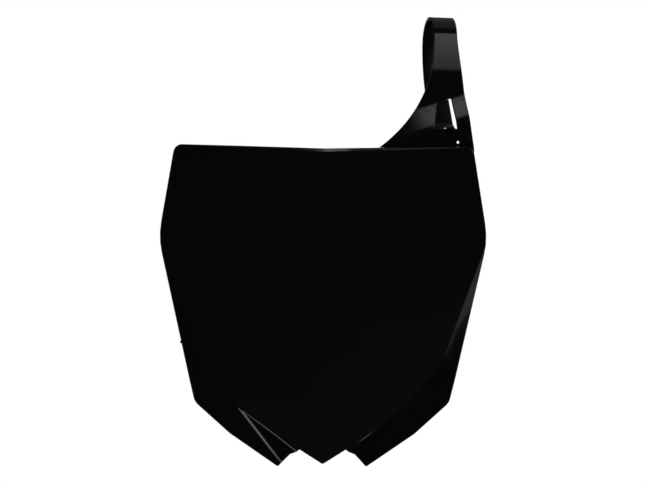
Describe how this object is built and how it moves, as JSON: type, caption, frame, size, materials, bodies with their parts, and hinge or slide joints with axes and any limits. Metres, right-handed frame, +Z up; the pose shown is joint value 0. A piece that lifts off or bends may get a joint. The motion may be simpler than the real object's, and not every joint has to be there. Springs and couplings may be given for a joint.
{
  "type": "motocross front number board",
  "caption": "One-piece moulded front number board with a folded number field, two fangs below, a rim behind, and a strap loop with a tongue held in its window.",
  "frame": {"origin": "centre of the upper bolt hole, on the upper face of the mounting tab behind the board", "axes": "-Y is the way the number field faces, +Z is up along the board and along the bolt's axis, +X is towards the side that carries the strap"},
  "size_m": [0.235, 0.0698, 0.3285],
  "materials": {
    "black_plastic": "glossy injection-moulded polypropylene, black all through"
  },
  "bodies": {
    "root": {"number_board": "black_plastic"}
  },
  "joints": []
}
